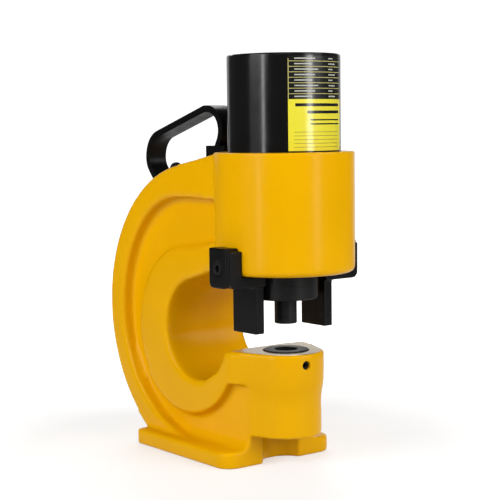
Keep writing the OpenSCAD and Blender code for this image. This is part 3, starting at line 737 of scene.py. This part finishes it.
def die_ring():
    """The die, with a wider way for slugs below its land."""
    relief_r = DIE_HOLE_R + DIE_RELIEF
    land = die_top - DIE_LAND
    outline = [(relief_r, die_bottom), (die_r, die_bottom), (die_r, die_top - DIE_EDGE),
               (die_r - DIE_EDGE, die_top), (DIE_HOLE_R, die_top), (DIE_HOLE_R, land), (relief_r, land)]
    piece = turned("die_ring", outline, axis, UP, BLACK_OXIDE, DIE_EASE)
    stands_for(piece, "die")


# Other pieces

def rounded_pieces():
    """Pieces that keep their CAD shape: node, name, material, rounding of the edges, its steps, slot."""
    plan = [
        ("handle", "handle_strap", BLACK_CAST, 1.4 * MM, 3, "black_paint"),
        ("stripper_screws", "stripper_cap_screws", BLACK_OXIDE, 0.35 * MM, 2, "black_steel"),
        ("handle_screws", "handle_flush_screws", BLACK_OXIDE, 0.3 * MM, 2, "black_steel"),
        ("plug_screw", "plug_dome_screw", BLACK_OXIDE, 0.3 * MM, 2, "black_steel"),
        ("die_set_screw", "set_screw", BLACK_OXIDE, 0.3 * MM, 2, "black_steel"),
        ("port_adapter", "inlet_adapter", ZINC, 0.4 * MM, 2, "plated_steel"),
        ("coupler_body", "coupler_half", ZINC, 0.5 * MM, 2, "plated_steel"),
        ("dust_cap", "coupler_dust_cap", RUBBER, 0.8 * MM, 3, "seal_rubber"),
    ]
    for node, name, material, width, segments, slot in plan:
        stands_for(softened(name, node, material, width, segments), node)


def coil(node):
    """A spring's CAD coil, welded, in spring wire, with a mesh of its own, in the node's place."""
    piece = add_object(node + "_coil", mesh_from(node + "_coil", welded_copy(node)))
    finish_with(piece.data, SPRING)
    smooth_by_angle(piece.data, TURNED_ANGLE)
    stands_for(piece, node)
    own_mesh(piece)


def springs():
    coil("return_spring")
    coil("poppet_spring")


def inner_finishes():
    """Materials of the nodes that show their CAD shape."""
    plan = {"ram": GROUND, "guide_bush": BRONZE, "rod_wiper": RUBBER, "piston_seal": RUBBER,
            "backup_ring": NYLON, "wear_ring": NYLON, "coupler_poppet": BRONZE, "port_washer": COPPER}
    for node, material in plan.items():
        finish_with(nodes[node].data, material)


# Stage

def softbox(name, turn, distance, height, width, length, power):
    """An area light at an angle in degrees round the punch's axis, facing the punch."""
    light = bpy.data.lights.new(name, "AREA")
    light.shape = "RECTANGLE"
    light.size = width
    light.size_y = length
    light.energy = power
    aim = Vector((axis.x, axis.y, middle("punch").z))
    across = distance * cos(radians(turn))
    along = distance * sin(radians(turn))
    lamp = bpy.data.objects.new(name, light)
    lamp.location = Vector((axis.x + across, axis.y + along, height))
    lamp.rotation_mode = "QUATERNION"
    lamp.rotation_quaternion = (aim - lamp.location).to_track_quat("-Z", "Y")
    lamp.visible_camera = False
    bpy.context.scene.collection.objects.link(lamp)


def lights():
    """Broad lights high all round, narrow strips for the gloss, a dim card behind."""
    for row in SOFTBOXES:
        softbox(*row)


def only_for(tree, kind, value):
    """Lets a light value through for one kind of ray."""
    path = tree.nodes.new("ShaderNodeLightPath")
    product = tree.nodes.new("ShaderNodeMath")
    product.operation = "MULTIPLY"
    tree.links.new(path.outputs[kind], product.inputs[0])
    tree.links.new(value, product.inputs[1])
    return product.outputs["Value"]


def distance_glow(tree, near, far, least, most):
    """A value that changes with the distance from the part."""
    coords = tree.nodes.new("ShaderNodeTexCoord")
    length = tree.nodes.new("ShaderNodeVectorMath")
    length.operation = "LENGTH"
    tree.links.new(coords.outputs["Object"], length.inputs[0])
    return map_range(tree, length.outputs["Value"], near, far, least, most)


def studio_world():
    """Grey for bounced light and reflections, white where the camera looks past the floor."""
    world = bpy.data.worlds.new("studio")
    world.use_nodes = True
    tree = world.node_tree
    path = tree.nodes.new("ShaderNodeLightPath")
    mix = tree.nodes.new("ShaderNodeMix")
    mix.data_type = "RGBA"
    mix.inputs["A"].default_value = (WORLD_LEVEL, WORLD_LEVEL, WORLD_LEVEL, 1)
    mix.inputs["B"].default_value = (WHITE_LEVEL, WHITE_LEVEL, WHITE_LEVEL, 1)
    tree.links.new(path.outputs["Is Camera Ray"], mix.inputs["Factor"])
    tree.links.new(mix.outputs["Result"], tree.nodes["Background"].inputs["Color"])
    bpy.context.scene.world = world


def white_floor():
    """A pale floor that takes a faint shadow near the part and runs out into white."""
    bm = bmesh.new()
    bmesh.ops.create_grid(bm, x_segments=1, y_segments=1, size=FLOOR_REACH)
    floor = add_object("floor", mesh_from("floor", bm))
    floor.location.z = -FLOOR_DROP
    material, tree, shader = new_material("floor_white")
    shader.inputs["Base Color"].default_value = (FLOOR_TONE, FLOOR_TONE, FLOOR_TONE, 1)
    shader.inputs["Roughness"].default_value = FLOOR_ROUGH
    shader.inputs["Specular IOR Level"].default_value = FLOOR_SHINE
    shader.inputs["Emission Color"].default_value = (1, 1, 1, 1)
    seen = only_for(tree, "Is Camera Ray", distance_glow(tree, *SEEN_GLOW))
    mirrored = only_for(tree, "Is Glossy Ray", distance_glow(tree, *MIRRORED_GLOW))
    both = tree.nodes.new("ShaderNodeMath")
    tree.links.new(seen, both.inputs[0])
    tree.links.new(mirrored, both.inputs[1])
    tree.links.new(both.outputs["Value"], shader.inputs["Emission Strength"])
    floor.data.materials.append(material)


def camera():
    """The photograph's own view."""
    lens = bpy.data.cameras.new("camera")
    lens.lens = CAMERA_LENS
    lens.sensor_width = CAMERA_SENSOR
    lens.clip_start = CAMERA_NEAR
    eye = bpy.data.objects.new("camera", lens)
    eye.location = CAMERA_AT
    eye.rotation_euler = [radians(turn) for turn in CAMERA_TURN]
    bpy.context.scene.collection.objects.link(eye)
    bpy.context.scene.camera = eye
    bpy.context.scene.view_settings.view_transform = "Standard"


camera()
studio_world()
white_floor()
lights()
casting()
brackets()
cylinder()
rating_plate()
punch_tool()
ring_nut()
die_ring()
rounded_pieces()
springs()
inner_finishes()
